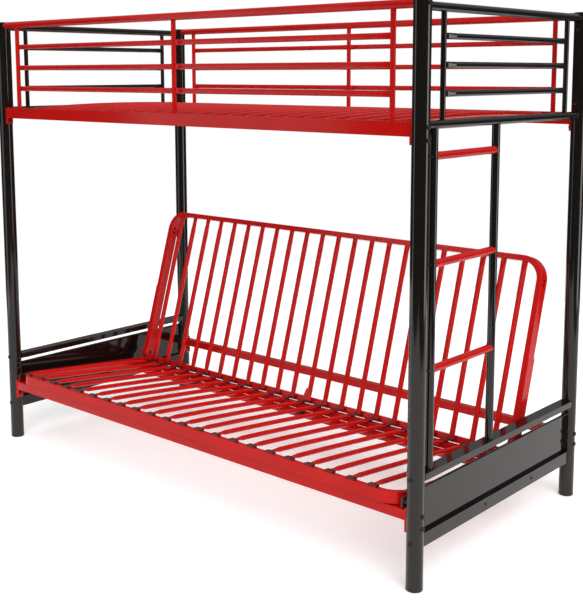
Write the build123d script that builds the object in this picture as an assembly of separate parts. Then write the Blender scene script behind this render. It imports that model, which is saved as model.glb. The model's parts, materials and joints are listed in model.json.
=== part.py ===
from build123d import *

import math
import os

# Sofa to bunk bed in steel tube, in millimetres.
# X runs along the bed, Y from front to back, Z up.
# The origin is on the floor, in the middle of the four posts.
# The part stands as a sofa: the seat slides forward and levels while the back folds flat behind it.

# Main frame
post_spacing_x = 1950.0
post_spacing_y = 915.0
total_height = 1650.0
post_radius = 25.0
post_wall = 1.5
foot_height = 12.0
foot_rounding = 3.0
cap_thickness = 4.0
cap_rounding = 1.5
cap_plug_depth = 3.5
foot_plug_depth = 25.0

# Clearances and common walls
fit_gap = 0.1
running_gap = 0.06
seat_gap = 0.3
tube_wall = 1.5
sheet_thickness = 1.5
cut_overrun = 5.0
insert_length = 22.0

# Fasteners
bolt_radius = 4.0
bolt_head_radius = 7.5
bolt_head_height = 3.6
head_round_share = 0.72
socket_share = 0.72
socket_depth_share = 0.55
hex_sides = 6
nut_radius = 6.5
nut_thickness = 5.0
screw_radius = 2.5
screw_head_radius = 5.5
screw_head_height = 2.2
screw_length = 13.0
ladder_screw_radius = 3.0
ladder_screw_head_radius = 5.5
ladder_screw_head_height = 2.6
ladder_screw_grip = 15.0

# Long rails of the upper bunk, their top a guard's height below the top of the posts
guard_height = 326.0
upper_rail_height = 40.0
rail_depth = 25.0
upper_plate_height = 62.0
rail_plate_thickness = 3.0
rail_plate_margin = 1.0
rail_plate_reach = 6.0
rail_bolt_pitch = 36.0

# Long rails under the seat
lower_rail_top = 232.0
lower_rail_height = 30.0
lower_plate_drop = 64.0
lower_plate_rise = 8.0

# Upper guards on the long sides. The shares are of the height from the rail to the top tube.
guard_tube_radius = 12.5
guard_bolt_room = 1.5
guard_upright_radius = 8.0
guard_upright_inset = 70.0
guard_bar_radius = 9.0
guard_bar_shares = (0.735, 0.486, 0.236)

# Upper end panels
end_top_rail_radius = 12.5
end_top_rail_drop = 19.0
end_low_rail_radius = 12.5
end_low_rail_drop = 9.0
end_upright_radius = 8.0
end_upright_inset = 77.5
end_strip_width = 20.0
end_strip_thickness = 4.0
end_screw_inset = 26.0

# Crimped ends of the short bars
crimp_length = 22.0
crimp_taper = 30.0
crimp_width = 18.5
crimp_thickness = 5.0

# Ladder on the right end. The shares are of the height from the arm rail to the lower end rail.
stile_radius = 12.5
stile_inset = 37.5
ladder_width = 326.0
rung_radius = 11.5
rung_shares = {"top": 0.912, "middle": 0.604, "bottom": 0.296}

# Lower end frames. The panel's screws are placed by shares of its height, the rail's of its reach.
arm_rail_width = 40.0
arm_rail_height = 20.0
arm_rail_top = 341.0
bottom_rail_width = 25.0
bottom_rail_height = 40.0
bottom_rail_drop = 70.0
panel_gap = 21.0
panel_flange = 12.0
panel_rounding = 4.0
panel_screw_shares = (0.522, 0.268)
rail_screw_shares = (-0.224, 0.428)

# Bars across the bunk, the seat and the back
bar_count = 22
bar_end_inset = 124.5
slat_radius = 8.0
slat_wall = 1.2
slat_tab_length = 20.0
slat_taper = 26.0
slat_tab_width = 22.0
slat_tab_thickness = 4.0
slat_end_inset = 3.0
clip_base = 2.0
clip_cheek = 4.0
clip_cover = 1.6
clip_length = 17.0
upper_clip_drop = 2.0
upper_slat_bow = 10.0
seat_bar_bow = 2.0
seat_bar_stagger = 17.0

# Hinge line between seat and back
hinge_setback = 279.5
hinge_pin_radius = 5.0
hinge_side_gap = 0.5
hinge_ear_gap = 1.5
seat_slope = 5.83
back_lean = 16.7

# Seat frame, measured along the seat from the hinge line
seat_to_post = 20.0
seat_to_rail = 2.888
seat_tube_width = 20.0
seat_tube_height = 36.0
seat_overhang = 20.5
seat_corner_radius = 75.0
seat_tube_gap = 2.0
seat_rear_gap = 0.5
seat_rear_depth = 28.5
seat_rear_height = 20.0
seat_bar_rear_inset = 8.5
cross_member_start = 52.0
cross_member_depth = 66.0
cross_member_height = 9.0
cross_member_drop = 9.0
buffer_shares = (-0.527, 0.086)
buffer_size = 24.0
buffer_height = 8.0
buffer_inset = 4.0

# Glide shoes that carry the seat on the front posts
shoe_thickness = 8.5
shoe_front = 9.0
shoe_rear = 38.0
shoe_top = 12.0
shoe_rail_gap = 4.5
shoe_foot_thickness = 6.2
shoe_foot_cover = 22.0
shoe_rounding = 3.0
shoe_side_gap = 1.0
stud_collar_radius = 8.0
stud_grip = 5.0

# Back frame, measured up the back from the hinge line
back_inset = 5.0
back_length = 678.0
back_tube_width = 20.0
back_tube_depth = 40.0
back_corner_radius = 80.0
back_tube_start = 30.0
back_rear_start = 7.0
back_rear_height = 24.0
back_rear_depth = 20.0
back_rear_front = 6.0
back_bar_radius = 9.5
back_bar_start = 11.0
back_bar_tab_width = 23.0
back_bar_tab_length = 12.0
back_bar_taper = 34.0
foot_clip_drop = 2.5
foot_clip_height = 11.0
foot_clip_cheek = 2.0
foot_clip_wall = 2.9
rivet_offset = 17.0
rivet_radius = 3.0
rivet_height = 1.2
gusset_bar = 11
gusset_width = 46.0
gusset_height = 44.0
gusset_thickness = 2.0

# Brackets at the foot of the back
bracket_thickness = 2.5
lug_height = 42.0
lug_radius = 28.0
outer_bracket_top = 341.0
inner_bracket_top = 136.0
guide_spacer_radius = 11.0
guide_spacer_thickness = 5.0
leg_hole_radius = 3.0
leg_hole_shares = (0.3923, 0.4425, 0.5162, 0.5811)
leg_slot_radius = 3.5
leg_slot_length = 12.0
leg_slot_shares = (0.8614, 0.8879)

# Places worked out from the sizes above
post_x = post_spacing_x / 2
post_y = post_spacing_y / 2
post_inner_x = post_x - post_radius
post_inner_y = post_y - post_radius
sides = (-1, 1)
bar_pitch = (post_spacing_x - 2 * bar_end_inset) / (bar_count - 1)
bar_places = [bar_pitch * (index - (bar_count - 1) / 2) for index in range(bar_count)]
upper_rail_top = total_height - guard_height
upper_plate_bottom = upper_rail_top - upper_plate_height
lower_plate_bottom = lower_rail_top - lower_plate_drop
lower_plate_top = lower_rail_top + lower_plate_rise
upper_bolt_middle = (upper_rail_top + upper_plate_bottom) / 2
lower_bolt_middle = (lower_plate_top + lower_plate_bottom) / 2
rail_inner_x = post_inner_x - rail_plate_thickness
rail_plate_width = rail_depth + 2 * rail_plate_margin
upper_clip_base = upper_rail_top - upper_clip_drop - clip_base - slat_tab_thickness - clip_cover
upper_slat_reach = post_y - rail_depth / 2 - 2 * fit_gap
guard_tube_height = total_height - cap_thickness - cap_plug_depth - bolt_radius - guard_bolt_room
guard_clear_height = guard_tube_height - upper_rail_top
guard_bar_heights = [upper_rail_top + share * guard_clear_height for share in guard_bar_shares]
guard_upright_reach = post_inner_x - guard_upright_inset
end_top_rail_height = total_height - end_top_rail_drop
end_low_rail_height = upper_rail_top - end_low_rail_drop
end_upright_reach = post_inner_y - end_upright_inset
stile_front = stile_inset - post_inner_y
stile_back = stile_front + ladder_width
ladder_height = end_low_rail_height - arm_rail_top
rung_heights = {name: arm_rail_top + share * ladder_height for name, share in rung_shares.items()}
arm_rail_middle = arm_rail_top - arm_rail_height / 2
bottom_rail_top = lower_rail_top - bottom_rail_drop
bottom_rail_middle = bottom_rail_top - bottom_rail_height / 2
panel_top = arm_rail_top - arm_rail_height - panel_gap
panel_height = panel_top - bottom_rail_top
panel_screw_offset = sheet_thickness + screw_head_radius + seat_gap
panel_screw_heights = [bottom_rail_top + share * panel_height for share in panel_screw_shares]
rail_screw_places = [share * post_inner_y for share in rail_screw_shares]
hinge_y = post_y - hinge_setback
seat_line_slope = math.tan(math.radians(seat_slope))
glide_height = lower_rail_top + seat_tube_height / 2 + seat_to_rail
hinge_z = glide_height - (hinge_y + post_y) * seat_line_slope
hinge_ear_radius = seat_tube_height / 2 - tube_wall - hinge_ear_gap
seat_at_rest = Pos(0, hinge_y, hinge_z) * Rot(-seat_slope, 0, 0)
glide_at_rest = Pos(0, -post_y, glide_height) * Rot(-seat_slope, 0, 0)
seat_bars_at_rest = seat_at_rest * Pos(-seat_bar_stagger, 0, 0)
back_at_rest = Pos(0, hinge_y, hinge_z) * Rot(-back_lean, 0, 0)
seat_half_width = post_inner_x - seat_to_post
seat_tube_start = hinge_ear_radius + seat_tube_gap
seat_length = (hinge_y + post_y + seat_overhang) / math.cos(math.radians(seat_slope))
seat_front_middle = seat_length - seat_tube_width / 2
seat_side_middle = seat_half_width - seat_tube_width / 2
seat_side_inner = seat_half_width - seat_tube_width
seat_rear_start = seat_tube_start + seat_rear_gap
seat_bar_front = seat_front_middle + slat_tab_length / 2 - slat_end_inset
seat_bar_rear = seat_rear_start + seat_bar_rear_inset
shoe_foot_start = rail_depth / 2 + shoe_rail_gap
buffer_places = [share * seat_half_width for share in buffer_shares]
back_half_width = seat_half_width - back_inset
leg_inner = back_half_width - back_tube_width
back_leg_middle = back_half_width - back_tube_width / 2
back_top_middle = back_length - back_tube_width / 2
back_bar_line = -back_rear_front - back_bar_radius - fit_gap
foot_clip_start = back_bar_start - foot_clip_drop
bracket_inner = leg_inner - bracket_thickness
bracket_outer = back_half_width + bracket_thickness


def block(x_ends, y_ends, z_ends):
    """Box between two places along each axis."""
    middles = [sum(ends) / 2 for ends in (x_ends, y_ends, z_ends)]
    sizes = [abs(ends[1] - ends[0]) for ends in (x_ends, y_ends, z_ends)]
    return Pos(*middles) * Box(*sizes)


def mirrored(side, inner, outer):
    """Ends of a run on one side of the middle, low end first."""
    return tuple(sorted((side * inner, side * outer)))


def rod(radius, start, end):
    """Round bar between two points."""
    run = Vector(*end) - Vector(*start)
    section = Plane(origin=start, z_dir=run) * Circle(radius)
    return extrude(section, amount=run.length)


def round_tube(radius, wall, start, end, insert=0.0):
    """Round tube between two points, with solid inserts in its ends where they have a length."""
    run = (Vector(*end) - Vector(*start)).normalized()
    bore_start = Vector(*start) + run * (insert if insert else -cut_overrun)
    bore_end = Vector(*end) - run * (insert if insert else -cut_overrun)
    return rod(radius, start, end) - rod(radius - wall, tuple(bore_start), tuple(bore_end))


def box_tube(x_ends, y_ends, z_ends, run_axis, wall, insert=0.0):
    """Box tube along one axis, with solid inserts in its ends where they have a length."""
    inside = []
    for axis, ends in enumerate((x_ends, y_ends, z_ends)):
        shrink = (insert if insert else -cut_overrun) if axis == run_axis else wall
        inside.append((min(ends) + shrink, max(ends) - shrink))
    return block(x_ends, y_ends, z_ends) - block(*inside)


def dome_fastener(radius, head_radius, head_height, length):
    """Dome headed bolt with a hexagon socket, its head on +Z and its shank down -Z."""
    head = extrude(Circle(head_radius), amount=head_height)
    rim = head.edges().group_by(Axis.Z)[-1]
    head = fillet(rim, head_height * head_round_share)
    hexagon = RegularPolygon(radius * socket_share, hex_sides)
    socket = extrude(hexagon, amount=-head_height * socket_depth_share)
    head = head - Pos(0, 0, head_height) * socket
    shank = extrude(Circle(radius), amount=-length)
    return head + shank


def placed(shape, point, direction):
    """The shape moved so that its +Z points along the direction from the point."""
    return Plane(origin=point, z_dir=direction).location * shape


def frame_bolt(length):
    """Bolt used in the posts and hinges."""
    return dome_fastener(bolt_radius, bolt_head_radius, bolt_head_height, length)


def panel_screw():
    """Small screw used in the panels and strips."""
    return dome_fastener(screw_radius, screw_head_radius, screw_head_height, screw_length)


def flange_nut(radius):
    """Round flange nut, its bearing face at zero and its body on +Z."""
    body = extrude(Circle(nut_radius), amount=nut_thickness)
    return body - extrude(Circle(radius + fit_gap), amount=nut_thickness)


def export_group(shapes, name):
    """Write one node that holds one or more solids."""
    solids = [solid for shape in shapes for solid in shape.solids()]
    whole = solids[0] if len(solids) == 1 else Compound(children=solids)
    whole.label = name
    export_step(whole, f"parts/{name}.step")


def post_cut(x_side, y_side, clearance=fit_gap):
    """Round cutter that shapes the end of a rail to a post."""
    place = (x_side * post_x, y_side * post_y)
    return rod(post_radius + clearance, (*place, 0), (*place, total_height))


def saddled(rail, corners):
    """Rail with its ends shaped to the posts that it meets."""
    for x_side, y_side in corners:
        rail = rail - post_cut(x_side, y_side)
    return rail


# Posts, caps and feet

def lengthwise_bolt_heights():
    """Heights of the bolts that run along X through every post."""
    heights = [guard_tube_height]
    for middle in (upper_bolt_middle, lower_bolt_middle):
        heights += [middle - rail_bolt_pitch / 2, middle + rail_bolt_pitch / 2]
    return heights


def crosswise_bolt_heights():
    """Heights of the bolts that run along Y through every post."""
    return [arm_rail_middle, bottom_rail_middle]


def inner_screw_places():
    """X offset from the post's axis and height of each screw on its inner Y side."""
    strip_low = end_low_rail_height + end_low_rail_radius + end_screw_inset
    strip_high = end_top_rail_height - end_top_rail_radius - end_screw_inset
    strip = [(0, strip_low), (0, strip_high)]
    panel = [(panel_screw_offset, height) for height in panel_screw_heights]
    return strip + panel


def post(x_side, y_side):
    """One hollow post with its bolt and screw holes."""
    x, y = x_side * post_x, y_side * post_y
    reach = post_radius + cut_overrun
    shape = round_tube(post_radius, post_wall, (x, y, foot_height), (x, y, total_height - cap_thickness))
    for height in lengthwise_bolt_heights():
        shape = shape - rod(bolt_radius + fit_gap, (x - reach, y, height), (x + reach, y, height))
    for height in crosswise_bolt_heights():
        shape = shape - rod(bolt_radius + fit_gap, (x, y - reach, height), (x, y + reach, height))
    for offset, height in inner_screw_places():
        across = x + x_side * offset
        shape = shape - rod(screw_radius + fit_gap, (across, y, height), (across, y - y_side * reach, height))
    if y_side < 0:
        inward = x - x_side * reach
        shape = shape - rod(hinge_pin_radius + fit_gap, (x, y, glide_height), (inward, y, glide_height))
    return shape


def post_cap(x_side, y_side):
    """Flat cap with a short plug in the top of a post."""
    x, y = x_side * post_x, y_side * post_y
    underside = total_height - cap_thickness
    disc = rod(post_radius, (x, y, underside), (x, y, total_height))
    disc = fillet(disc.edges().group_by(Axis.Z)[-1], cap_rounding)
    plug_radius = post_radius - post_wall - fit_gap
    return disc + rod(plug_radius, (x, y, underside - cap_plug_depth), (x, y, underside))


def post_foot(x_side, y_side):
    """Rounded foot with a plug in the bottom of a post."""
    x, y = x_side * post_x, y_side * post_y
    disc = rod(post_radius, (x, y, 0), (x, y, foot_height))
    disc = fillet(disc.edges().group_by(Axis.Z)[0], foot_rounding)
    plug_radius = post_radius - post_wall - fit_gap
    return disc + rod(plug_radius, (x, y, foot_height), (x, y, foot_height + foot_plug_depth))


# Long rails with their end plates

def long_rail(y_side, bottom, top, plate_bottom, plate_top, bolt_middle):
    """Box rail along the bed, and the shaped plates on its ends that are bolted to the posts."""
    y = y_side * post_y
    depth = (y - rail_depth / 2, y + rail_depth / 2)
    pieces = [box_tube((-rail_inner_x, rail_inner_x), depth, (bottom, top), 0, tube_wall)]
    width = (y - rail_plate_width / 2, y + rail_plate_width / 2)
    for x_side in sides:
        run = mirrored(x_side, rail_inner_x, post_inner_x + rail_plate_reach)
        plate = block(run, width, (plate_bottom, plate_top)) - post_cut(x_side, y_side)
        for height in (bolt_middle - rail_bolt_pitch / 2, bolt_middle + rail_bolt_pitch / 2):
            inner = (x_side * (rail_inner_x - cut_overrun), y, height)
            outer = (x_side * post_x, y, height)
            plate = plate - rod(bolt_radius + fit_gap, inner, outer)
        pieces.append(plate)
    return pieces


def upper_rail(y_side):
    """Rail that carries one side of the upper deck."""
    bottom = upper_rail_top - upper_rail_height
    return long_rail(y_side, bottom, upper_rail_top, upper_plate_bottom, upper_rail_top, upper_bolt_middle)


def lower_rail(y_side):
    """Rail under the front or the back of the sofa."""
    bottom = lower_rail_top - lower_rail_height
    return long_rail(y_side, bottom, lower_rail_top, lower_plate_bottom, lower_plate_top, lower_bolt_middle)


# Crimped bars of the guards and end panels

def crimped_bar(radius, length):
    """Hollow bar along +X from zero with flattened ends, for welding between two uprights."""
    middle_start = crimp_length + crimp_taper
    bar = round_tube(radius, tube_wall, (middle_start, 0, 0), (length - middle_start, 0, 0), crimp_taper)
    wide = Plane.YZ * Ellipse(crimp_thickness / 2, crimp_width / 2)
    full = Plane.YZ * Circle(radius)
    tab = extrude(wide, amount=crimp_length)
    taper = loft([Pos(crimp_length, 0, 0) * wide, Pos(middle_start, 0, 0) * full])
    end = tab + taper
    other_end = Pos(length, 0, 0) * mirror(end, about=Plane.YZ)
    return bar + end + other_end


def guard_top_tube(y_side):
    """Top tube of a guard, between the posts."""
    y = y_side * post_y
    reach = post_inner_x + rail_plate_reach
    start, end = (-reach, y, guard_tube_height), (reach, y, guard_tube_height)
    shape = round_tube(guard_tube_radius, tube_wall, start, end, insert_length + rail_plate_reach)
    bore_depth = post_inner_x - insert_length - cut_overrun
    for x_side in sides:
        inner = (x_side * bore_depth, y, guard_tube_height)
        shape = shape - rod(bolt_radius + fit_gap, inner, (x_side * post_x, y, guard_tube_height))
    return saddled(shape, [(x_side, y_side) for x_side in sides])


def guard_uprights(y_side):
    """Three uprights between an upper rail and its guard's top tube."""
    y = y_side * post_y
    crown = rod(guard_tube_radius + fit_gap, (-post_x, y, guard_tube_height), (post_x, y, guard_tube_height))
    uprights = []
    for x in (-guard_upright_reach, 0, guard_upright_reach):
        low, high = (x, y, upper_rail_top), (x, y, guard_tube_height)
        uprights.append(round_tube(guard_upright_radius, tube_wall, low, high) - crown)
    return uprights


def guard_bars(y_side):
    """Three rows of bars in the two bays of a guard."""
    y = y_side * post_y
    bar = crimped_bar(guard_bar_radius, guard_upright_reach)
    bars = []
    for height in guard_bar_heights:
        for start in (-guard_upright_reach, 0):
            piece = Pos(start, y, height) * bar
            for x in (start, start + guard_upright_reach):
                low, high = (x, y, upper_rail_top), (x, y, guard_tube_height)
                piece = piece - rod(guard_upright_radius + fit_gap, low, high)
            bars.append(piece)
    return bars


# Upper end panels

def end_rail(x_side, radius, height):
    """Round rail across the bed between a front and a back post."""
    x = x_side * post_x
    start, end = (x, -post_inner_y - rail_plate_reach, height), (x, post_inner_y + rail_plate_reach, height)
    shape = round_tube(radius, tube_wall, start, end)
    return saddled(shape, [(x_side, y_side) for y_side in sides])


def end_uprights(x_side):
    """Two uprights of an upper end panel."""
    x = x_side * post_x
    bottom, top = end_low_rail_height, end_top_rail_height
    low_cut = rod(end_low_rail_radius + fit_gap, (x, -post_y, bottom), (x, post_y, bottom))
    top_cut = rod(end_top_rail_radius + fit_gap, (x, -post_y, top), (x, post_y, top))
    uprights = []
    for y_side in sides:
        y = y_side * end_upright_reach
        tube = round_tube(end_upright_radius, tube_wall, (x, y, bottom), (x, y, top))
        uprights.append(tube - low_cut - top_cut)
    return uprights


def end_bars(x_side):
    """Three crimped bars between the uprights of an upper end panel."""
    x = x_side * post_x
    bar = crimped_bar(guard_bar_radius, 2 * end_upright_reach)
    bars = []
    for height in guard_bar_heights:
        piece = Pos(x, -end_upright_reach, height) * Rot(0, 0, 90) * bar
        for y_side in sides:
            y = y_side * end_upright_reach
            low, high = (x, y, end_low_rail_height), (x, y, end_top_rail_height)
            piece = piece - rod(end_upright_radius + fit_gap, low, high)
        bars.append(piece)
    return bars


def end_strip(x_side, y_side):
    """Flat strip between the two end rails, screwed to a post's inner side."""
    x = x_side * post_x
    low = end_low_rail_height + end_low_rail_radius
    high = end_top_rail_height - end_top_rail_radius
    width = (x - end_strip_width / 2, x + end_strip_width / 2)
    thickness = mirrored(y_side, post_inner_y - end_strip_thickness, post_inner_y + cut_overrun)
    shape = block(width, thickness, (low, high))
    shape = saddled(shape, [(x_side, y_side)])
    for height in (low + end_screw_inset, high - end_screw_inset):
        start = (x, y_side * (post_inner_y - end_strip_thickness - cut_overrun), height)
        shape = shape - rod(screw_radius + fit_gap, start, (x, y_side * post_y, height))
    return shape


# Ladder

def ladder_stile(y):
    """Stile from the right arm rail up to the lower end rail."""
    x = post_x
    shape = round_tube(stile_radius, tube_wall, (x, y, arm_rail_top), (x, y, end_low_rail_height))
    low_end = (x, -post_y, end_low_rail_height)
    high_end = (x, post_y, end_low_rail_height)
    shape = shape - rod(end_low_rail_radius + fit_gap, low_end, high_end)
    plug = rod(stile_radius - tube_wall, (x, y, arm_rail_top), (x, y, arm_rail_top + ladder_screw_grip))
    shape = shape + plug
    shape = shape - rod(ladder_screw_radius + fit_gap, (x, y, arm_rail_top - cut_overrun),
                        (x, y, arm_rail_top + ladder_screw_grip + cut_overrun))
    reach = stile_radius + cut_overrun
    for height in rung_heights.values():
        shape = shape - rod(ladder_screw_radius + fit_gap, (x, y - reach, height), (x, y + reach, height))
    return shape


def ladder_rung(height):
    """Rung with solid ends that take the ladder screws."""
    x = post_x
    shape = round_tube(rung_radius, tube_wall, (x, stile_front, height), (x, stile_back, height),
                       stile_radius + insert_length)
    shape = shape - rod(ladder_screw_radius + fit_gap, (x, stile_front, height), (x, stile_back, height))
    for y in (stile_front, stile_back):
        shape = shape - rod(stile_radius + fit_gap, (x, y, arm_rail_top), (x, y, end_low_rail_height))
    return shape


def ladder_screws():
    """Screws through the stiles into the rungs, and up through the arm rail into the stiles."""
    across = dome_fastener(ladder_screw_radius, ladder_screw_head_radius, ladder_screw_head_height,
                           2 * stile_radius + ladder_screw_grip)
    upward = dome_fastener(ladder_screw_radius, ladder_screw_head_radius, ladder_screw_head_height,
                           arm_rail_height + ladder_screw_grip)
    screws = []
    for height in rung_heights.values():
        screws.append(placed(across, (post_x, stile_front - stile_radius, height), (0, -1, 0)))
        screws.append(placed(across, (post_x, stile_back + stile_radius, height), (0, 1, 0)))
    for y in (stile_front, stile_back):
        screws.append(placed(upward, (post_x, y, arm_rail_top - arm_rail_height), (0, 0, -1)))
    return screws


# Lower end frames

def crosswise_rail(x_side, width, bottom, top):
    """Box rail across the bed, bolted through the posts at both ends."""
    x = x_side * post_x
    reach = post_inner_y + rail_plate_reach
    middle = (bottom + top) / 2
    shape = box_tube((x - width / 2, x + width / 2), (-reach, reach), (bottom, top), 1, tube_wall,
                     insert_length + rail_plate_reach)
    for y_side in sides:
        start = (x, y_side * (post_inner_y - insert_length - cut_overrun), middle)
        shape = shape - rod(bolt_radius + fit_gap, start, (x, y_side * post_y, middle))
    return saddled(shape, [(x_side, y_side) for y_side in sides])


def arm_rail(x_side):
    """Flat rail at the height of the arm. The right one has holes for the ladder's screws."""
    shape = crosswise_rail(x_side, arm_rail_width, arm_rail_top - arm_rail_height, arm_rail_top)
    if x_side > 0:
        for y in (stile_front, stile_back):
            low, high = arm_rail_top - arm_rail_height - cut_overrun, arm_rail_top + cut_overrun
            shape = shape - rod(ladder_screw_radius + fit_gap, (post_x, y, low), (post_x, y, high))
    return shape


def end_bottom_rail(x_side):
    """Rail at the foot of an end frame, with two screw holes in its outer face."""
    shape = crosswise_rail(x_side, bottom_rail_width, bottom_rail_top - bottom_rail_height, bottom_rail_top)
    outer = x_side * (post_x + bottom_rail_width / 2)
    for y in rail_screw_places:
        start = (outer + x_side * cut_overrun, y, bottom_rail_middle)
        end = (outer - x_side * (screw_length + tube_wall), y, bottom_rail_middle)
        shape = shape - rod(screw_radius + fit_gap, start, end)
    return shape


def end_panel(x_side):
    """Pressed steel panel with its four edges folded outward."""
    inner = post_x + seat_gap
    face = inner + sheet_thickness
    outer = face + panel_flange
    reach = post_inner_y - fit_gap
    shape = block(mirrored(x_side, inner, outer), (-reach, reach), (bottom_rail_top, panel_top))
    crown = shape.edges().filter_by(Axis.Y).sort_by(Axis.Z)[-2:]
    shape = fillet(crown.sort_by(Axis.X)[0 if x_side > 0 else -1], panel_rounding)
    hollow_reach = reach - sheet_thickness
    hollow_heights = (bottom_rail_top + sheet_thickness, panel_top - sheet_thickness)
    hollow = block(mirrored(x_side, face, outer + cut_overrun), (-hollow_reach, hollow_reach), hollow_heights)
    shape = shape - hollow
    across = x_side * (post_x + panel_screw_offset)
    for height in panel_screw_heights:
        shape = shape - rod(screw_radius + fit_gap, (across, -post_y, height), (across, post_y, height))
    return shape


# Fasteners of the fixed frame

def lengthwise_bolts():
    """Bolts along X through the posts, into the rails' end plates and the guards' top tubes."""
    through = frame_bolt(2 * post_radius + rail_plate_thickness + nut_thickness)
    guard = frame_bolt(2 * post_radius + insert_length)
    nut = flange_nut(bolt_radius)
    pieces = []
    for x_side in sides:
        for y_side in sides:
            head = (x_side * (post_x + post_radius), y_side * post_y)
            for height in lengthwise_bolt_heights():
                shape = guard if height == guard_tube_height else through
                pieces.append(placed(shape, (*head, height), (x_side, 0, 0)))
                if height != guard_tube_height:
                    seat = (x_side * rail_inner_x, y_side * post_y, height)
                    pieces.append(placed(nut, seat, (-x_side, 0, 0)))
    return pieces


def crosswise_bolts():
    """Bolts along Y through the posts into the arm rails and bottom rails."""
    shape = frame_bolt(2 * post_radius + insert_length)
    pieces = []
    for x_side in sides:
        for y_side in sides:
            for height in crosswise_bolt_heights():
                head = (x_side * post_x, y_side * (post_y + post_radius), height)
                pieces.append(placed(shape, head, (0, y_side, 0)))
    return pieces


def panel_screws():
    """Screws of the end strips, the end panels and the bottom rails."""
    screw = panel_screw()
    pieces = []
    for x_side in sides:
        for y_side in sides:
            for offset, height in inner_screw_places():
                thickness = sheet_thickness if offset else end_strip_thickness
                y = y_side * (post_inner_y - fit_gap - thickness)
                pieces.append(placed(screw, (x_side * (post_x + offset), y, height), (0, -y_side, 0)))
        outer = x_side * (post_x + bottom_rail_width / 2)
        for y in rail_screw_places:
            pieces.append(placed(screw, (outer, y, bottom_rail_middle), (x_side, 0, 0)))
    return pieces


def glide_stud(x_side):
    """Stud on a front post that the glide shoe turns on."""
    inner = seat_half_width + shoe_side_gap
    collar = inner + shoe_thickness + seat_gap
    line = (-post_y, glide_height)
    pin = rod(hinge_pin_radius, (x_side * inner, *line), (x_side * (post_inner_x + stud_grip), *line))
    disc = rod(stud_collar_radius, (x_side * collar, *line), (x_side * (post_inner_x + cut_overrun), *line))
    return pin + (disc - post_cut(x_side, -1))


# Bars with flattened ends and their clips

def bowed_bar(length, start_height, end_height, bow):
    """Hollow bar along +Y from zero that bows upward between two flattened ends."""
    round_start = slat_tab_length + slat_taper
    middle_height = (start_height + end_height) / 2 + bow
    first, last = (0, round_start, start_height), (0, length - round_start, end_height)
    path = ThreePointArc(first, (0, length / 2, middle_height), last)
    section_plane = Plane(origin=path @ 0, x_dir=(1, 0, 0), z_dir=path % 0)
    outside = sweep(section_plane * Circle(slat_radius), path=path)
    inside = sweep(section_plane * Circle(slat_radius - slat_wall), path=path)
    shape = outside - inside
    flat = Ellipse(slat_tab_width / 2, slat_tab_thickness / 2)
    near_end = (path @ 0, path % 0, start_height, 0, 1)
    far_end = (path @ 1, path % 1, end_height, length, -1)
    for point, tangent, height, edge, direction in (near_end, far_end):
        tab_plane = Plane(origin=(0, edge, height), x_dir=(1, 0, 0), z_dir=(0, direction, 0))
        tab = extrude(tab_plane * flat, amount=slat_tab_length)
        tab_edge = edge + direction * slat_tab_length
        tab_end = Plane(origin=(0, tab_edge, height), x_dir=(1, 0, 0), z_dir=(0, 1, 0))
        full = Plane(origin=point, x_dir=(1, 0, 0), z_dir=tangent) * Circle(slat_radius)
        sections = [tab_end * flat, full] if direction > 0 else [full, tab_end * flat]
        shape = shape + tab + loft(sections)
    return shape


def bar_clip():
    """Plastic clip that holds a bar's flattened end. Its base is at zero, centred on Y."""
    width = slat_tab_width + 2 * clip_cheek
    height = clip_base + slat_tab_thickness + clip_cover
    shape = block((-width / 2, width / 2), (-clip_length / 2, clip_length / 2), (0, height))
    top_edges = shape.edges().filter_by(Axis.Y).group_by(Axis.Z)[-1]
    shape = fillet(top_edges, clip_cover)
    middle = clip_base + slat_tab_thickness / 2
    slot = Plane(origin=(0, -clip_length, middle), x_dir=(1, 0, 0), z_dir=(0, 1, 0))
    flat = Ellipse(slat_tab_width / 2 + fit_gap, slat_tab_thickness / 2 + fit_gap)
    return shape - extrude(slot * flat, amount=2 * clip_length)


def copies(shape, placement=Pos(0, 0, 0)):
    """One copy of the shape at each bar's place along X."""
    return [placement * Pos(x, 0, 0) * shape for x in bar_places]


def upper_slat():
    """Bar across the upper deck, held in clips inside both upper rails."""
    tab_middle = clip_base + slat_tab_thickness / 2
    bar = bowed_bar(2 * upper_slat_reach, 0, 0, upper_slat_bow)
    return Pos(0, -upper_slat_reach, upper_clip_base + tab_middle) * bar


def upper_slat_clips():
    """Clips on the inner faces of the upper rails, two for each slat."""
    clip = bar_clip()
    middle = post_y - rail_depth / 2 - fit_gap - clip_length / 2
    clips = []
    for y_side in sides:
        clips += copies(Pos(0, y_side * middle, upper_clip_base) * clip)
    return clips


# Seat, in its own frame: zero at the hinge line, -Y towards the front, Z up from the tubes' middle

def seat_frame_tube():
    """Box tube bent round the front and both sides of the seat."""
    corners = [(-seat_side_middle, -seat_tube_start, 0), (-seat_side_middle, -seat_front_middle, 0),
               (seat_side_middle, -seat_front_middle, 0), (seat_side_middle, -seat_tube_start, 0)]
    path = FilletPolyline(*corners, radius=seat_corner_radius - seat_tube_width / 2)
    plane = Plane(origin=path @ 0, x_dir=(1, 0, 0), z_dir=path % 0)
    section = RectangleRounded(seat_tube_width, seat_tube_height, tube_wall)
    bore = Rectangle(seat_tube_width - 2 * tube_wall, seat_tube_height - 2 * tube_wall)
    return sweep(plane * (section - bore), path=path)


def seat_rear_tube():
    """Box tube across the rear of the seat, under the bars' rear ends."""
    front = -seat_rear_start - seat_rear_depth
    return box_tube((-seat_side_inner, seat_side_inner), (front, -seat_rear_start),
                    (-seat_rear_height / 2, seat_rear_height / 2), 0, tube_wall)


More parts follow.
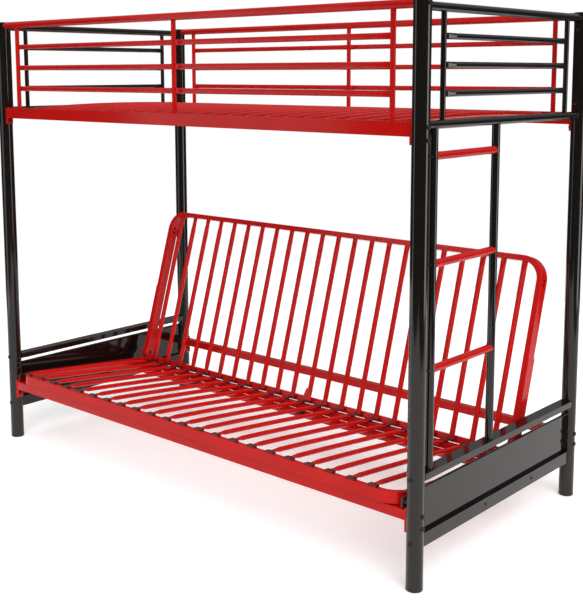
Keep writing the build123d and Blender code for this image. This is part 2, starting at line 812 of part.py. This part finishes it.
def seat_cross_member():
    """Wide flat channel under the rear of the bars, open below."""
    start, end = -cross_member_start - cross_member_depth, -cross_member_start
    top, low = -cross_member_drop, -cross_member_drop - cross_member_height
    shape = block((-seat_side_inner, seat_side_inner), (start, end), (low, top))
    hollow = block((-post_x, post_x), (start + sheet_thickness, end - sheet_thickness),
                   (low - cut_overrun, top - sheet_thickness))
    return shape - hollow


def seat_bar():
    """Bar from the seat's front tube to its rear tube."""
    tab_middle = clip_base + slat_tab_thickness / 2
    length = seat_bar_front - seat_bar_rear
    front_height = seat_tube_height / 2 + tab_middle
    rear_height = seat_rear_height / 2 + tab_middle
    return Pos(0, -seat_bar_front, 0) * bowed_bar(length, front_height, rear_height, seat_bar_bow)


def seat_bar_clips():
    """Clips on the seat's front and rear tubes."""
    clip = bar_clip()
    front = Pos(0, -seat_front_middle, seat_tube_height / 2) * clip
    rear = Pos(0, -seat_bar_rear - slat_tab_length / 2, seat_rear_height / 2) * clip
    return copies(front, seat_bars_at_rest) + copies(rear, seat_bars_at_rest)


def seat_hinge_ear(x_side):
    """Rounded ear in the rear end of a seat side tube, with the bore for the hinge pin."""
    width = mirrored(x_side, leg_inner + hinge_side_gap, back_half_width - hinge_side_gap)
    barrel = rod(hinge_ear_radius, (width[0], 0, 0), (width[1], 0, 0))
    neck = block(width, (-seat_tube_start, 0), (-hinge_ear_radius, hinge_ear_radius))
    plug_side = mirrored(x_side, seat_side_inner + tube_wall + fit_gap, back_half_width - hinge_side_gap)
    plug_run = (-seat_tube_start - insert_length, -seat_tube_start)
    plug = block(plug_side, plug_run, (-hinge_ear_radius, hinge_ear_radius))
    bore = rod(hinge_pin_radius + running_gap, (width[0], 0, 0), (width[1], 0, 0))
    return barrel + neck + plug - bore


def seat_buffer(x):
    """Small rubber block on the front edge of the wide cross member."""
    front = -cross_member_start - cross_member_depth + buffer_inset
    shape = block((x - buffer_size / 2, x + buffer_size / 2), (front, front + buffer_size),
                  (-cross_member_drop, buffer_height - cross_member_drop))
    return fillet(shape.edges().group_by(Axis.Z)[-1], sheet_thickness)


def glide_shoe(x_side):
    """Glide shoe beside a seat side tube, with a foot under the tube behind the front rail."""
    inner = seat_half_width + shoe_side_gap
    outer = inner + shoe_thickness
    underside = -seat_tube_height / 2 - seat_gap
    cheek = block(mirrored(x_side, inner, outer), (-shoe_front, shoe_rear), (underside, shoe_top))
    cheek = fillet(cheek.edges().filter_by(Axis.X).group_by(Axis.Z)[-1], shoe_rounding)
    foot = block(mirrored(x_side, seat_half_width - shoe_foot_cover, outer), (shoe_foot_start, shoe_rear),
                 (underside - shoe_foot_thickness, underside))
    bore = rod(hinge_pin_radius + running_gap, (x_side * inner, 0, 0), (x_side * outer, 0, 0))
    return cheek + foot - bore


# Back, in its own frame: zero at the hinge line, Z up the back, -Y towards the sitter

def back_leg_cuts(x_side):
    """Small holes and two short slots through the inner face of a leg."""
    start, end = x_side * (leg_inner - cut_overrun), x_side * back_leg_middle
    holes = [share * back_length for share in leg_hole_shares]
    cuts = [rod(leg_hole_radius, (start, 0, height), (end, 0, height)) for height in holes]
    for share in leg_slot_shares:
        slot = Plane(origin=(start, 0, share * back_length), x_dir=(0, 1, 0), z_dir=(x_side, 0, 0))
        outline = SlotOverall(leg_slot_length, 2 * leg_slot_radius)
        cuts.append(extrude(slot * outline, amount=back_tube_width + 2 * cut_overrun))
    return cuts


def along_back_frame(section):
    """The section swept up one leg, over the top and down the other leg."""
    corners = [(-back_leg_middle, 0, back_tube_start), (-back_leg_middle, 0, back_top_middle),
               (back_leg_middle, 0, back_top_middle), (back_leg_middle, 0, back_tube_start)]
    path = FilletPolyline(*corners, radius=back_corner_radius - back_tube_width / 2)
    plane = Plane(origin=path @ 0, x_dir=(1, 0, 0), z_dir=path % 0)
    return sweep(plane * section, path=path)


def backrest_envelope():
    """Solid cutter round the back's frame tube."""
    return along_back_frame(Rectangle(back_tube_width + 2 * fit_gap, back_tube_depth + 2 * fit_gap))


def backrest_frame_tube():
    """Box tube bent up both sides and over the top of the back."""
    section = RectangleRounded(back_tube_width, back_tube_depth, tube_wall)
    bore = Rectangle(back_tube_width - 2 * tube_wall, back_tube_depth - 2 * tube_wall)
    shape = along_back_frame(section - bore)
    for x_side in sides:
        for cut in back_leg_cuts(x_side):
            shape = shape - cut
        shape = shape - lug_bore(x_side, bolt_radius + fit_gap)
    return shape


def lug_bore(x_side, radius):
    """Cutter for the guide bolt through a leg and both bracket plates."""
    start, end = x_side * (bracket_inner - cut_overrun), x_side * (bracket_outer + cut_overrun)
    return rod(radius, (start, 0, lug_height), (end, 0, lug_height))


def backrest_bottom_tube():
    """Box tube across the foot of the back, behind the bars."""
    return box_tube((-bracket_inner, bracket_inner), (-back_rear_front, back_rear_depth - back_rear_front),
                    (back_rear_start, back_rear_start + back_rear_height), 0, tube_wall)


def backrest_bar():
    """Upright bar of the back, flattened at its foot and where it meets the top tube."""
    foot_end = back_bar_start + back_bar_tab_length
    tab_start = back_length - back_tube_width - back_bar_tab_length
    round_start, round_end = foot_end + back_bar_taper, tab_start - back_bar_taper
    y = back_bar_line
    shape = round_tube(back_bar_radius, slat_wall, (0, y, round_start), (0, y, round_end))
    flat = Ellipse(back_bar_tab_width / 2, slat_tab_thickness / 2)
    full = Circle(back_bar_radius)
    shape = shape + loft([Pos(0, y, foot_end) * flat, Pos(0, y, round_start) * full])
    shape = shape + loft([Pos(0, y, round_end) * full, Pos(0, y, tab_start) * flat])
    for start in (back_bar_start, tab_start):
        shape = shape + Pos(0, y, start) * extrude(flat, amount=back_bar_tab_length)
    return shape


def backrest_bars():
    """Every bar of the back. The two at the ends are shaped to the frame's bends."""
    bars = copies(backrest_bar())
    envelope = backrest_envelope()
    for end in (0, -1):
        bars[end] = bars[end] - envelope
    return [back_at_rest * bar for bar in bars]


def backrest_bar_clip():
    """Plastic clip round the foot of a back bar, in front of the bottom tube."""
    heights = (foot_clip_start, foot_clip_start + foot_clip_height)
    half_width = back_bar_tab_width / 2 + foot_clip_cheek
    front = back_bar_line - slat_tab_thickness / 2 - foot_clip_wall
    shape = block((-half_width, half_width), (front, -back_rear_front - fit_gap), heights)
    corners = shape.edges().filter_by(Axis.Z).group_by(Axis.Y)[0]
    shape = fillet(corners, clip_cheek)
    flat = Ellipse(back_bar_tab_width / 2 + fit_gap, slat_tab_thickness / 2 + fit_gap)
    return shape - Pos(0, back_bar_line, 0) * extrude(flat, amount=back_length)


def backrest_rivets():
    """Small round heads beside each bar on the top tube and the bottom tube."""
    rivet = extrude(Circle(rivet_radius), amount=rivet_height)
    rivet = fillet(rivet.edges().group_by(Axis.Z)[-1], rivet_height * head_round_share)
    top = placed(rivet, (rivet_offset, -back_tube_depth / 2, back_top_middle), (0, -1, 0))
    low_height = back_rear_start + back_rear_height / 2
    low = placed(rivet, (rivet_offset, -back_rear_front, low_height), (0, -1, 0))
    return copies(top, back_at_rest) + copies(low, back_at_rest)


def backrest_gusset():
    """Triangular plate over the foot of the bar beside the middle."""
    low = foot_clip_start + foot_clip_height + fit_gap
    high = low + gusset_height
    outline = Polyline((-gusset_width / 2, low), (gusset_width / 2, low), (back_bar_radius, high),
                       (-back_bar_radius, high), close=True)
    front = back_bar_line - back_bar_radius - fit_gap
    plane = Plane(origin=(bar_places[gusset_bar], front, 0), x_dir=(1, 0, 0), z_dir=(0, -1, 0))
    return extrude(plane * make_face(outline), amount=gusset_thickness)


def bracket_plate(x_ends, top):
    """Plate with a round lug and a narrow tongue down to the hinge pin."""
    low, high = x_ends
    tongue = block(x_ends, (-hinge_ear_radius, hinge_ear_radius), (0, lug_height))
    leg = block(x_ends, (-back_tube_depth / 2, back_tube_depth / 2), (lug_height, top))
    lug = rod(lug_radius, (low, 0, lug_height), (high, 0, lug_height))
    eye = rod(hinge_ear_radius, (low, 0, 0), (high, 0, 0))
    bore = rod(hinge_pin_radius + fit_gap, (low, 0, 0), (high, 0, 0))
    return tongue + leg + lug + eye - bore


def backrest_bracket(x_side):
    """Inner and outer bracket plates at the foot of one leg."""
    outer = bracket_plate(mirrored(x_side, back_half_width, bracket_outer), outer_bracket_top)
    inner = bracket_plate(mirrored(x_side, bracket_inner, leg_inner), inner_bracket_top)
    bore = lug_bore(x_side, bolt_radius + fit_gap)
    return [outer - bore, inner - bore]


def hinge_pin(x_side):
    """Hinge pin through both plates and the seat's ear, headed outside and nutted inside."""
    grip = bracket_outer - bracket_inner + nut_thickness
    pin = dome_fastener(hinge_pin_radius, bolt_head_radius, bolt_head_height, grip)
    nut = flange_nut(hinge_pin_radius)
    return [placed(pin, (x_side * bracket_outer, 0, 0), (x_side, 0, 0)),
            placed(nut, (x_side * bracket_inner, 0, 0), (-x_side, 0, 0))]


def guide_bolt(x_side):
    """Bolt through the lug of one leg, headed inside."""
    grip = bracket_outer - bracket_inner + guide_spacer_thickness + nut_thickness
    bolt = placed(frame_bolt(grip), (x_side * bracket_inner, 0, lug_height), (-x_side, 0, 0))
    seat = (x_side * (bracket_outer + guide_spacer_thickness), 0, lug_height)
    return [bolt, placed(flange_nut(bolt_radius), seat, (x_side, 0, 0))]


def guide_spacer(x_side):
    """Plastic spacer on the guide bolt, between the bracket and its nut."""
    start = (x_side * bracket_outer, 0, lug_height)
    end = (x_side * (bracket_outer + guide_spacer_thickness), 0, lug_height)
    return rod(guide_spacer_radius, start, end) - rod(bolt_radius + fit_gap, start, end)


def build_fixed_frame():
    """Every piece that stays still."""
    names = {-1: "left", 1: "right"}
    depth_names = {-1: "front", 1: "back"}
    posts = [(x_side, y_side) for x_side in sides for y_side in sides]
    for x_side, y_side in posts:
        export_group([post(x_side, y_side)], f"post_{depth_names[y_side]}_{names[x_side]}")
    export_group([post_cap(*place) for place in posts], "post_caps")
    export_group([post_foot(*place) for place in posts], "post_feet")
    for y_side, name in depth_names.items():
        export_group(upper_rail(y_side), f"upper_rail_{name}")
        export_group(lower_rail(y_side), f"lower_rail_{name}")
        export_group([guard_top_tube(y_side)], f"guard_top_tube_{name}")
        export_group(guard_uprights(y_side), f"guard_uprights_{name}")
        export_group(guard_bars(y_side), f"guard_bars_{name}")
    for x_side, name in names.items():
        export_group([end_rail(x_side, end_top_rail_radius, end_top_rail_height)], f"end_top_rail_{name}")
        export_group([end_rail(x_side, end_low_rail_radius, end_low_rail_height)], f"end_low_rail_{name}")
        export_group([arm_rail(x_side)], f"arm_rail_{name}")
        export_group([end_panel(x_side)], f"end_panel_{name}")
        export_group([end_bottom_rail(x_side)], f"end_bottom_rail_{name}")
    export_group(end_uprights(-1) + end_uprights(1), "end_uprights")
    export_group(end_bars(-1) + end_bars(1), "end_bars")
    export_group([end_strip(*place) for place in posts], "end_strips")
    export_group(copies(upper_slat()), "upper_slats")
    export_group(upper_slat_clips(), "upper_slat_clips")
    export_group([ladder_stile(stile_front)], "ladder_stile_front")
    export_group([ladder_stile(stile_back)], "ladder_stile_back")
    for name, height in rung_heights.items():
        export_group([ladder_rung(height)], f"ladder_rung_{name}")
    export_group(ladder_screws(), "ladder_screws")
    export_group(lengthwise_bolts(), "lengthwise_bolts")
    export_group(crosswise_bolts(), "crosswise_bolts")
    export_group(panel_screws(), "panel_screws")
    export_group([glide_stud(x_side) for x_side in sides], "glide_studs")


def build_seat():
    """The glide shoes and every piece that slides with the seat."""
    export_group([glide_at_rest * glide_shoe(x_side) for x_side in sides], "glide_shoes")
    export_group([seat_at_rest * seat_frame_tube()], "seat_frame_tube")
    export_group([seat_at_rest * seat_rear_tube()], "seat_rear_tube")
    export_group([seat_at_rest * seat_cross_member()], "seat_cross_member")
    export_group(copies(seat_bar(), seat_bars_at_rest), "seat_bars")
    export_group(seat_bar_clips(), "seat_bar_clips")
    export_group([seat_at_rest * seat_hinge_ear(x_side) for x_side in sides], "seat_hinge_ears")
    export_group([seat_at_rest * seat_buffer(x) for x in buffer_places], "seat_buffers")


def build_back():
    """Every piece that folds with the back."""
    export_group([back_at_rest * backrest_frame_tube()], "backrest_frame_tube")
    export_group([back_at_rest * backrest_bottom_tube()], "backrest_bottom_tube")
    export_group(backrest_bars(), "backrest_bars")
    export_group(copies(backrest_bar_clip(), back_at_rest), "backrest_bar_clips")
    export_group(backrest_rivets(), "backrest_rivets")
    export_group([back_at_rest * backrest_gusset()], "backrest_gusset")
    for x_side, name in ((-1, "left"), (1, "right")):
        plates = [back_at_rest * plate for plate in backrest_bracket(x_side)]
        export_group(plates, f"backrest_bracket_{name}")
    pins = [back_at_rest * piece for x_side in sides for piece in hinge_pin(x_side)]
    export_group(pins, "hinge_pins")
    bolts = [back_at_rest * piece for x_side in sides for piece in guide_bolt(x_side)]
    export_group(bolts, "guide_bolts")
    export_group([back_at_rest * guide_spacer(x_side) for x_side in sides], "guide_spacers")


os.makedirs("parts", exist_ok=True)
build_fixed_frame()
build_seat()
build_back()
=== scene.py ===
import json
import math

import bmesh
import bpy
from mathutils import Matrix, Vector

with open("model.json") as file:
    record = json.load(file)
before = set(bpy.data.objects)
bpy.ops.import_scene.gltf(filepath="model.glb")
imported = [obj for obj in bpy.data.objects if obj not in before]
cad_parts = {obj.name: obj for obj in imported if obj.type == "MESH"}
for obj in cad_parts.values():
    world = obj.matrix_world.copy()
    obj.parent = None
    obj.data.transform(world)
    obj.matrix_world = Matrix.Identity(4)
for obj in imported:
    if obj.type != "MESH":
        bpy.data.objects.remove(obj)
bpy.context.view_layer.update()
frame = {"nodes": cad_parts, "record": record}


class Wire:
    """An output socket of a node tree that takes part in arithmetic."""

    def __init__(self, tree, socket=None):
        self.tree = tree
        self.socket = socket

    def node(self, kind, settings, feeds, output=0):
        """Adds a node, sets it up, feeds its sockets and gives a wire from one of its outputs."""
        made = self.tree.nodes.new(kind)
        stops = settings.pop("stops", None)
        for name, value in settings.items():
            setattr(made, name, value)
        if stops:
            ramp = made.color_ramp.elements
            while len(ramp) < len(stops):
                ramp.new(1.0)
            for element, (place, shade) in zip(ramp, stops):
                element.position = place
                element.color = (shade, shade, shade, 1.0)
        for name, value in feeds.items():
            if isinstance(value, Wire):
                self.tree.links.new(value.socket, made.inputs[name])
            else:
                made.inputs[name].default_value = value
        return Wire(self.tree, made.outputs[output])

    def combine(self, operation, first, second):
        """A Math node on two wires or numbers."""
        return self.node("ShaderNodeMath", {"operation": operation}, {0: first, 1: second})

    def __add__(self, other):
        return self.combine("ADD", self, other)

    def __sub__(self, other):
        return self.combine("SUBTRACT", self, other)

    def __mul__(self, other):
        return self.combine("MULTIPLY", self, other)

    def __rsub__(self, other):
        return self.combine("SUBTRACT", other, self)

    __radd__ = __add__
    __rmul__ = __mul__

    def mix(self, low, high):
        """A colour that goes from low to high as this wire goes from 0 to 1."""
        return self.node("ShaderNodeMix", {"data_type": "RGBA"}, {0: self, 6: low, 7: high}, 2)

    def ramp(self, *stops):
        """A grey ramp of this wire, with a place and a shade for each stop."""
        return self.node("ShaderNodeValToRGB", {"stops": stops}, {0: self})

    def bump(self, strength, distance):
        """A surface relief with this wire as its height."""
        feeds = {"Strength": strength, "Distance": distance, "Height": self}
        return self.node("ShaderNodeBump", {}, feeds)


def noise(place, scale, detail=3.0, roughness=0.5):
    """Noise over a place, with its scale in cells a metre."""
    feeds = {"Vector": place, "Scale": scale, "Detail": detail, "Roughness": roughness}
    return place.node("ShaderNodeTexNoise", {}, feeds)


def new_material(name):
    """An empty node material with its Principled shader, and a wire of object coordinates."""
    material = bpy.data.materials.new(name)
    material.use_nodes = True
    shader = material.node_tree.nodes["Principled BSDF"]
    place = Wire(material.node_tree).node("ShaderNodeTexCoord", {}, {}, "Object")
    return material, shader, place


def connect(material, shader, feeds):
    """Feeds the shader's sockets with wires or plain values."""
    for name, value in feeds.items():
        if isinstance(value, Wire):
            material.node_tree.links.new(value.socket, shader.inputs[name])
        else:
            shader.inputs[name].default_value = value


# Finishes: linear colours, and the grain of each texture in cells a metre
red_thin = (0.53, 0.007, 0.005, 1.0)
red_full = (0.42, 0.004, 0.003, 1.0)
red_shine_tint = (1.0, 0.9, 0.88, 1.0)
red_specular = 0.20
red_smooth = 0.11
black_thin = (0.0065, 0.0050, 0.0042, 1.0)
black_full = (0.0045, 0.0036, 0.0030, 1.0)
black_shine_tint = (1.0, 0.96, 0.91, 1.0)
black_specular = 0.46
black_smooth = 0.04
film_clouds = 5.0
film_fine = 70.0
film_specks = 520.0
peel_fine = 300.0
peel_broad = 60.0
peel_share = 0.5
cloud_share = 0.7
fine_share = 0.3
speck_share = 0.25
cloud_haze = 0.05
fine_haze = 0.04
speck_haze = 0.1
peel_strength = 0.08
peel_depth = 0.0003


def powder_coat(name, thin, full, specular, smooth, tint):
    """Baked powder coat: film a little thinner in clouds, fine orange peel, and rare specks."""
    material, shader, place = new_material(name)
    cloud = noise(place, film_clouds, 4.0).ramp((0.3, 0.0), (0.7, 1.0))
    fine = noise(place, film_fine, 3.0)
    speck = noise(place, film_specks, 1.0).ramp((0.70, 0.0), (0.78, 1.0))
    tone = (cloud_share * cloud + fine_share * fine).mix(thin, full)
    flecked = (speck_share * speck).mix(tone, full)
    roughness = smooth + cloud_haze * cloud + fine_haze * fine + speck_haze * speck
    peel = noise(place, peel_fine, 1.0) * peel_share + noise(place, peel_broad, 1.0) * peel_share
    connect(material, shader, {
        "Base Color": flecked, "Roughness": roughness,
        "Normal": peel.bump(peel_strength, peel_depth),
        "Specular IOR Level": specular, "Specular Tint": tint})
    return material


oxide_dark = (0.010, 0.010, 0.010, 1.0)
oxide_rubbed = (0.05, 0.048, 0.045, 1.0)
oxide_patches = 240.0
oxide_grain = 1800.0
oxide_roughness = 0.38
oxide_polish = 0.12
oxide_metal = 0.5
rubbed_metal = 0.3
grain_strength = 0.2
grain_depth = 0.0002


def oxide(name):
    """Black oxide on steel fasteners, rubbed brighter in patches."""
    material, shader, place = new_material(name)
    rub = noise(place, oxide_patches, 4.0).ramp((0.5, 0.0), (0.75, 1.0))
    grain = noise(place, oxide_grain, 2.0)
    tone = rub.mix(oxide_dark, oxide_rubbed)
    connect(material, shader, {
        "Base Color": tone, "Roughness": oxide_roughness - oxide_polish * rub,
        "Metallic": oxide_metal + rubbed_metal * rub,
        "Normal": grain.bump(grain_strength, grain_depth)})
    return material


plastic_dark = (0.006, 0.005, 0.005, 1.0)
plastic_bright = (0.012, 0.011, 0.010, 1.0)
plastic_roughness = 0.42
rubber_dark = (0.008, 0.008, 0.008, 1.0)
rubber_bright = (0.02, 0.02, 0.02, 1.0)
rubber_roughness = 0.75
dark_red_deep = (0.05, 0.0015, 0.0015, 1.0)
dark_red_bright = (0.09, 0.002, 0.002, 1.0)
dark_red_roughness = 0.36
spark_grain = 1500.0
flow_marks = 30.0
spark_haze = 0.12
noise_middle = 0.5
spark_strength = 0.35
spark_depth = 0.0003
moulded_specular = 0.4


def moulded(name, deep, bright, roughness):
    """Moulded plastic or rubber with a fine spark texture."""
    material, shader, place = new_material(name)
    spark = noise(place, spark_grain, 3.0, 0.6)
    tone = noise(place, flow_marks, 3.0).mix(deep, bright)
    connect(material, shader, {
        "Base Color": tone, "Roughness": roughness + spark_haze * (spark - noise_middle),
        "Normal": spark.bump(spark_strength, spark_depth),
        "Specular IOR Level": moulded_specular})
    return material


def make_materials():
    """One material for each slot of the record."""
    return {
        "red_enamel": powder_coat(
            "red_enamel", red_thin, red_full, red_specular, red_smooth, red_shine_tint),
        "black_enamel": powder_coat(
            "black_enamel", black_thin, black_full, black_specular, black_smooth, black_shine_tint),
        "black_fasteners": oxide("black_fasteners"),
        "black_plastic": moulded("black_plastic", plastic_dark, plastic_bright, plastic_roughness),
        "black_rubber": moulded("black_rubber", rubber_dark, rubber_bright, rubber_roughness),
        "dark_red_plastic": moulded(
            "dark_red_plastic", dark_red_deep, dark_red_bright, dark_red_roughness),
    }


def dress_nodes(materials):
    """Gives every carried-over node the material of its slot."""
    for subpart in frame["record"]["subparts"]:
        node = frame["nodes"][subpart["node"]]
        node.data.materials.clear()
        node.data.materials.append(materials[subpart["material_slot"]])


# A plain pale floor under the bed
floor_half = 3.3
floor_pale = (0.90, 0.90, 0.90, 1.0)
floor_paler = (0.93, 0.93, 0.93, 1.0)
floor_clouds = 3.0
floor_roughness = 0.9
floor_glow = 0.25
white = (1.0, 1.0, 1.0, 1.0)


def make_floor():
    """The floor, which is no part of the bed."""
    shape = bmesh.new()
    bmesh.ops.create_grid(shape, x_segments=1, y_segments=1, size=floor_half)
    mesh = bpy.data.meshes.new("floor")
    shape.to_mesh(mesh)
    shape.free()
    floor = bpy.data.objects.new("floor", mesh)
    bpy.context.scene.collection.objects.link(floor)
    material, shader, place = new_material("pale_floor")
    tone = noise(place, floor_clouds, 5.0).mix(floor_pale, floor_paler)
    connect(material, shader, {
        "Base Color": tone, "Roughness": floor_roughness, "Specular IOR Level": 0.0,
        "Emission Color": white, "Emission Strength": floor_glow})
    mesh.materials.append(material)


def hang_light(light, place, aim, lights_matt, shows_in_gloss):
    """Puts a light in place, turned to a point, and unseen itself."""
    holder = bpy.data.objects.new(light.name, light)
    holder.location = place
    holder.rotation_euler = (Vector(aim) - Vector(place)).to_track_quat("-Z", "Y").to_euler()
    holder.visible_camera = False
    holder.visible_diffuse = lights_matt
    holder.visible_glossy = shows_in_gloss
    bpy.context.scene.collection.objects.link(holder)


def strip_light(name, place, aim, size, power):
    """A tall soft box that shows only as a bright line in the gloss of the posts."""
    light = bpy.data.lights.new(name, "AREA")
    light.shape = "RECTANGLE"
    light.size, light.size_y = size
    light.energy = power
    hang_light(light, place, aim, False, True)


def sky_light(name, place, strength, spread, shows_in_gloss=True):
    """Broad even light from one side of the sky."""
    light = bpy.data.lights.new(name, "SUN")
    light.energy = strength
    light.angle = math.radians(spread)
    hang_light(light, place, floor_middle, True, shows_in_gloss)


# Lights: places in metres, spreads in degrees, soft boxes in metres and watts
floor_middle = (0.0, 0.0, 0.0)
overhead_place = (0.3, -0.6, 3.0)
overhead_strength = 0.65
broad_spread = 60.0
key_place = (2.7, -1.7, 2.1)
key_strength = 1.1
key_fill_strength = 1.35
key_spread = 56.0
rear_place = (-0.5, 3.0, 1.3)
rear_strength = 0.7
left_box_place = (-1.54, -2.32, 1.35)
left_box_aim = (0.0, 0.0, 1.35)
left_box_size = (1.2, 2.5)
left_box_power = 13.0
right_box_place = (3.5, 1.15, 1.35)
right_box_aim = (0.975, 0.0, 1.35)
right_box_size = (1.3, 2.5)
right_box_power = 38.0
horizon_glow = 0.09
ceiling_glow = 0.36


def make_light():
    """Plain soft studio light: broad light from three sides, two soft boxes, a white backdrop."""
    world = bpy.data.worlds.new("studio")
    bpy.context.scene.world = world
    world.use_nodes = True
    tree = world.node_tree
    direction = Wire(tree).node("ShaderNodeTexCoord", {}, {}, "Generated")
    height = direction.node("ShaderNodeSeparateXYZ", {}, {0: direction}, "Z")
    ceiling = height.ramp((0.12, 0.0), (0.45, 1.0))
    seen = Wire(tree).node("ShaderNodeLightPath", {}, {}, "Is Camera Ray")
    strength = (1.0 - seen) * (horizon_glow + ceiling_glow * ceiling) + seen
    tree.links.new(strength.socket, tree.nodes["Background"].inputs["Strength"])
    tree.nodes["Background"].inputs["Color"].default_value = white
    sky_light("overhead", overhead_place, overhead_strength, broad_spread)
    sky_light("key", key_place, key_strength, key_spread)
    sky_light("key_fill", key_place, key_fill_strength, key_spread, False)
    sky_light("rear_fill", rear_place, rear_strength, broad_spread, False)
    strip_light("left_box", left_box_place, left_box_aim, left_box_size, left_box_power)
    strip_light("right_box", right_box_place, right_box_aim, right_box_size, right_box_power)


# The camera, solved from the ends of the four posts in the photograph
camera_place = (2.589, -2.799, 1.454)
camera_yaw = 41.58
camera_pitch = 7.72
camera_roll = -0.10
camera_focal_pixels = 1053.0
camera_shift = -0.14
level = 90.0
frame_height = 600.0
sensor = 36.0


def make_camera():
    """The photograph's viewing place, angle and field of view."""
    data = bpy.data.cameras.new("camera")
    data.sensor_width = sensor
    data.lens = camera_focal_pixels * sensor / frame_height
    data.shift_y = camera_shift
    camera = bpy.data.objects.new("camera", data)
    turn = Matrix.Rotation(math.radians(camera_yaw), 4, "Z")
    tilt = Matrix.Rotation(math.radians(level - camera_pitch), 4, "X")
    roll = Matrix.Rotation(math.radians(camera_roll), 4, "Z")
    camera.matrix_world = Matrix.Translation(camera_place) @ turn @ tilt @ roll
    bpy.context.scene.collection.objects.link(camera)
    bpy.context.scene.camera = camera


make_floor()
make_light()
make_camera()
dress_nodes(make_materials())
bpy.context.scene.view_settings.view_transform = "Standard"
